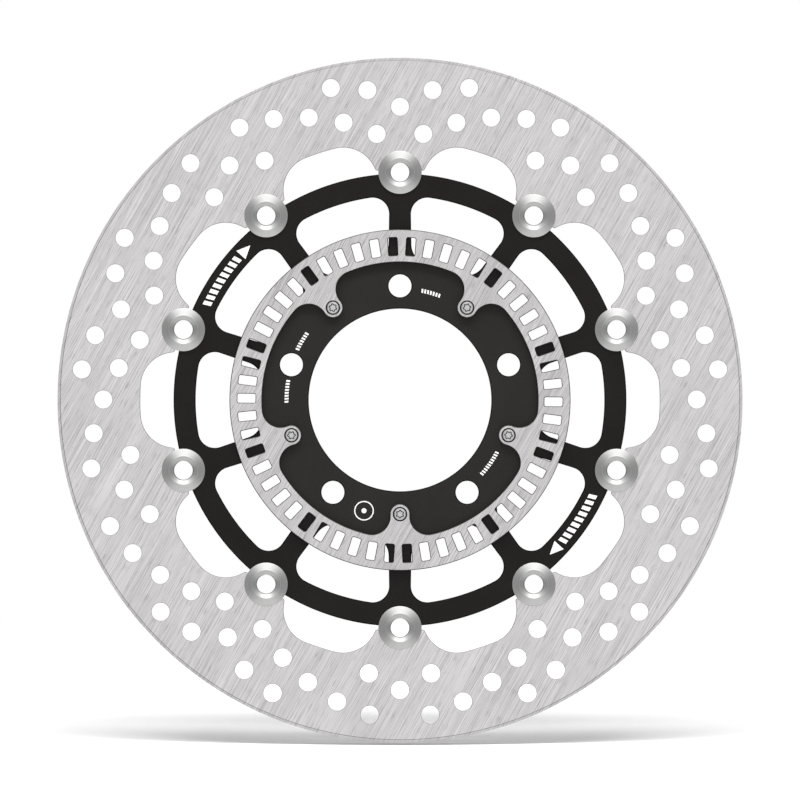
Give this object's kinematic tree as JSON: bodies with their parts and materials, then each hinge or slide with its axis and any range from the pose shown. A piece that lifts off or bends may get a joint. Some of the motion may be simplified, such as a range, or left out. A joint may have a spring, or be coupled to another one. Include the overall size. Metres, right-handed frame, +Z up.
{
  "type": "brake disc rotor",
  "caption": "Floating motorcycle front brake disc: drilled scalloped friction ring hung on hollow bobbins round a black spoked carrier with a slotted sensor ring.",
  "frame": {"origin": "centre of the hub bore, on the rear face that bolts to the wheel hub", "axes": "+Y along the axle line towards the wheel hub, so the outboard face with the sensor ring looks to -Y; +Z up, through the first bobbin and one hub bolt hole"},
  "size_m": [0.3, 0.011, 0.3],
  "materials": {
    "ground_steel": "straight-ground stainless steel, fine parallel grinding lines",
    "black_anodised": "matt black anodised",
    "sensor_steel": "ground stainless sheet",
    "screw_steel": "plain stainless, machined",
    "turned_alloy": "fine-turned, clear anodised",
    "washer_zinc": "bright zinc plated",
    "spring_steel": "tempered spring steel",
    "clip_steel": "black phosphated spring steel"
  },
  "bodies": {
    "carrier": {"carrier": "black_anodised", "tone_ring": "sensor_steel", "tone_ring_screw_1": "screw_steel", "tone_ring_screw_2": "screw_steel", "tone_ring_screw_3": "screw_steel", "tone_ring_screw_4": "screw_steel", "tone_ring_screw_5": "screw_steel"},
    "friction_ring": {"friction_ring": "ground_steel"},
    "bobbin_1": {"bobbin_1": "turned_alloy", "flat_washer_1": "washer_zinc", "wave_washer_1": "spring_steel", "circlip_1": "clip_steel"},
    "bobbin_2": {"bobbin_2": "turned_alloy", "flat_washer_2": "washer_zinc", "wave_washer_2": "spring_steel", "circlip_2": "clip_steel"},
    "bobbin_3": {"bobbin_3": "turned_alloy", "flat_washer_3": "washer_zinc", "wave_washer_3": "spring_steel", "circlip_3": "clip_steel"},
    "bobbin_4": {"bobbin_4": "turned_alloy", "flat_washer_4": "washer_zinc", "wave_washer_4": "spring_steel", "circlip_4": "clip_steel"},
    "bobbin_5": {"bobbin_5": "turned_alloy", "flat_washer_5": "washer_zinc", "wave_washer_5": "spring_steel", "circlip_5": "clip_steel"},
    "bobbin_6": {"bobbin_6": "turned_alloy", "flat_washer_6": "washer_zinc", "wave_washer_6": "spring_steel", "circlip_6": "clip_steel"},
    "bobbin_7": {"bobbin_7": "turned_alloy", "flat_washer_7": "washer_zinc", "wave_washer_7": "spring_steel", "circlip_7": "clip_steel"},
    "bobbin_8": {"bobbin_8": "turned_alloy", "flat_washer_8": "washer_zinc", "wave_washer_8": "spring_steel", "circlip_8": "clip_steel"},
    "bobbin_9": {"bobbin_9": "turned_alloy", "flat_washer_9": "washer_zinc", "wave_washer_9": "spring_steel", "circlip_9": "clip_steel"},
    "bobbin_10": {"bobbin_10": "turned_alloy", "flat_washer_10": "washer_zinc", "wave_washer_10": "spring_steel", "circlip_10": "clip_steel"}
  },
  "joints": [
    {"name": "disc_float", "type": "slide", "parent": "carrier", "child": "friction_ring", "axis": [0, 1, 0], "range_m": [-0.00025, 0.00025]},
    {"name": "bobbin_1_turn", "type": "hinge", "parent": "carrier", "child": "bobbin_1", "pos_m": [0, 0, 0.09975], "axis": [0, 1, 0], "continuous": true},
    {"name": "bobbin_2_turn", "type": "hinge", "parent": "carrier", "child": "bobbin_2", "pos_m": [-0.05863, 0, 0.0807], "axis": [0, 1, 0], "continuous": true},
    {"name": "bobbin_3_turn", "type": "hinge", "parent": "carrier", "child": "bobbin_3", "pos_m": [-0.09487, 0, 0.03082], "axis": [0, 1, 0], "continuous": true},
    {"name": "bobbin_4_turn", "type": "hinge", "parent": "carrier", "child": "bobbin_4", "pos_m": [-0.09487, 0, -0.03082], "axis": [0, 1, 0], "continuous": true},
    {"name": "bobbin_5_turn", "type": "hinge", "parent": "carrier", "child": "bobbin_5", "pos_m": [-0.05863, 0, -0.0807], "axis": [0, 1, 0], "continuous": true},
    {"name": "bobbin_6_turn", "type": "hinge", "parent": "carrier", "child": "bobbin_6", "pos_m": [0, 0, -0.09975], "axis": [0, 1, 0], "continuous": true},
    {"name": "bobbin_7_turn", "type": "hinge", "parent": "carrier", "child": "bobbin_7", "pos_m": [0.05863, 0, -0.0807], "axis": [0, 1, 0], "continuous": true},
    {"name": "bobbin_8_turn", "type": "hinge", "parent": "carrier", "child": "bobbin_8", "pos_m": [0.09487, 0, -0.03082], "axis": [0, 1, 0], "continuous": true},
    {"name": "bobbin_9_turn", "type": "hinge", "parent": "carrier", "child": "bobbin_9", "pos_m": [0.09487, 0, 0.03082], "axis": [0, 1, 0], "continuous": true},
    {"name": "bobbin_10_turn", "type": "hinge", "parent": "carrier", "child": "bobbin_10", "pos_m": [0.05863, 0, 0.0807], "axis": [0, 1, 0], "continuous": true}
  ]
}
